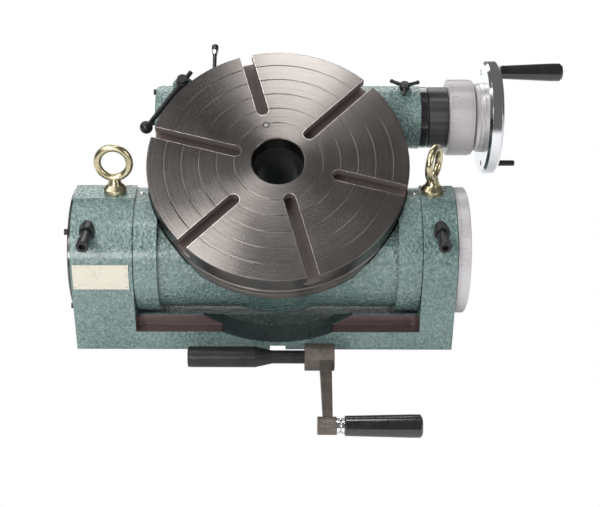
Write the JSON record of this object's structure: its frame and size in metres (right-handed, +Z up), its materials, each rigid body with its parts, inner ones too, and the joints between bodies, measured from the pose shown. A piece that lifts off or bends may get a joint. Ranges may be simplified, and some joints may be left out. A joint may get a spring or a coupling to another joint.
{
  "type": "tilting rotary table",
  "caption": "Round T-slotted rotary table with worm drive and handwheel, on a body that tilts between two pedestals; loose crank for the tilt worm.",
  "frame": {"origin": "on the underside of the base in the middle of its keyway, directly below the tilt axis and level with the table's axis across", "axes": "+X along the tilt axis towards the handwheel, +Y towards the back, +Z up; the keyway runs along Y"},
  "size_m": [0.5897, 0.453, 0.2901],
  "materials": {
    "painted_casting": "hammered grey-green enamel",
    "machined_iron": "turned cast iron, lightly oiled",
    "ground_steel": "ground steel",
    "black_steel": "black oxide",
    "dark_collar": "dark grey satin",
    "gloss_black": "glossy black",
    "aluminium": "satin turned aluminium",
    "chrome": "chromed and polished",
    "bronze": "machined bronze",
    "eye_bolt": "yellow zinc plating",
    "cast_crank": "rough cast, grey-brown",
    "plate": "cream enamel, bare"
  },
  "bodies": {
    "base": {"base_casting": "painted_casting", "tilt_gear_cover": "gloss_black", "cover_screws": "black_steel", "left_trunnion_bush": "bronze", "right_trunnion_bush": "bronze", "left_eye_bolt": "eye_bolt", "right_eye_bolt": "eye_bolt", "lock_rings": "ground_steel", "nameplate": "plate", "tilt_worm_bushes": "bronze", "tilt_worm_cap": "black_steel"},
    "tilt_head": {"left_trunnion_shaft": "ground_steel", "right_trunnion_shaft": "ground_steel", "tilt_wheel": "bronze", "trunnion_nut": "black_steel", "tilt_scale_ring": "aluminium", "scale_ring_screws": "black_steel", "tilting_body": "painted_casting", "platform": "machined_iron", "thrust_ring": "bronze", "lower_bearing": "ground_steel", "bottom_cover": "black_steel", "bottom_screws": "black_steel", "left_worm_bush": "bronze", "right_worm_bush": "bronze", "worm_end_cap": "painted_casting", "end_cap_screws": "black_steel", "bearing_retainer": "gloss_black", "index_sleeve": "dark_collar", "body_oilers": "bronze", "clamp_stud": "ground_steel"},
    "rotary_table": {"table": "machined_iron", "graduated_ring": "machined_iron", "ring_screws": "black_steel", "spindle": "ground_steel", "worm_wheel": "bronze", "spindle_nut": "black_steel", "locating_pin": "ground_steel"},
    "tilt_drive": {"tilt_worm": "ground_steel"},
    "worm_shaft": {"table_worm": "ground_steel", "handwheel": "chrome", "handwheel_nut": "black_steel", "grip_bolt": "ground_steel", "handwheel_pin": "black_steel"},
    "collar": {"micrometer_collar": "aluminium"},
    "wheel_grip": {"handwheel_grip": "gloss_black"},
    "clamp": {"clamp_lever": "black_steel"},
    "knob": {"arm_knob": "black_steel"},
    "index_plunger": {"plunger": "black_steel"},
    "left_lock": {"left_lock_screw": "black_steel"},
    "right_lock": {"right_lock_screw": "black_steel"},
    "crank": {"crank_tube": "black_steel", "crank_arm": "cast_crank", "crank_bolt": "chrome"},
    "crank_handle": {"crank_grip": "gloss_black"}
  },
  "joints": [
    {"name": "tilt", "type": "hinge", "parent": "base", "child": "tilt_head", "pos_m": [0, 0, 0.0925], "axis": [1, 0, 0], "range_deg": [-35, 55]},
    {"name": "table_turn", "type": "hinge", "parent": "tilt_head", "child": "rotary_table", "pos_m": [0, 0.00506, 0.20469], "axis": [0, -0.5736, 0.8192], "continuous": true},
    {"name": "worm_turn", "type": "hinge", "parent": "tilt_head", "child": "worm_shaft", "pos_m": [0, 0.13532, 0.20434], "axis": [1, 0, 0], "continuous": true},
    {"name": "tilt_worm_turn", "type": "hinge", "parent": "base", "child": "tilt_drive", "pos_m": [-0.1993, 0, 0.0225], "axis": [0, 1, 0], "range_deg": [-3300, 2100]},
    {"name": "collar_turn", "type": "hinge", "parent": "worm_shaft", "child": "collar", "pos_m": [0.22, 0.13532, 0.20434], "axis": [1, 0, 0], "continuous": true},
    {"name": "wheel_grip_turn", "type": "hinge", "parent": "worm_shaft", "child": "wheel_grip", "pos_m": [0.3, 0.16247, 0.25332], "axis": [1, 0, 0], "continuous": true},
    {"name": "clamp_lever_turn", "type": "hinge", "parent": "tilt_head", "child": "clamp", "pos_m": [-0.116, 0.12937, 0.25206], "axis": [0, -0.5736, 0.8192], "range_deg": [-60, 6]},
    {"name": "arm_knob_turn", "type": "hinge", "parent": "tilt_head", "child": "knob", "pos_m": [0.1525, 0.12509, 0.24868], "axis": [0, -0.225, 0.9744], "continuous": true},
    {"name": "plunger_pull", "type": "slide", "parent": "tilt_head", "child": "index_plunger", "axis": [0, 0.8192, 0.5736], "range_m": [0, 0.005], "stiffness_N_per_m": 60, "springref_m": -0.004},
    {"name": "left_lock_turn", "type": "hinge", "parent": "base", "child": "left_lock", "pos_m": [-0.214, -0.09, 0.144], "axis": [0, -1, 0], "range_deg": [-180, 30]},
    {"name": "right_lock_turn", "type": "hinge", "parent": "base", "child": "right_lock", "pos_m": [0.1835, -0.09, 0.144], "axis": [0, -1, 0], "range_deg": [-180, 30]},
    {"name": "crank_lift", "type": "slide", "parent": "base", "child": "crank", "axis": [0, 0, 1], "range_m": [0, 0.05]},
    {"name": "crank_grip_turn", "type": "hinge", "parent": "crank", "child": "crank_handle", "pos_m": [0.11, -0.23395, 0.0122], "axis": [1, 0, 0], "continuous": true}
  ],
  "couplings": [
    {"joint": "worm_turn", "follows": "table_turn", "ratio": 90},
    {"joint": "tilt_worm_turn", "follows": "tilt", "ratio": -60}
  ]
}
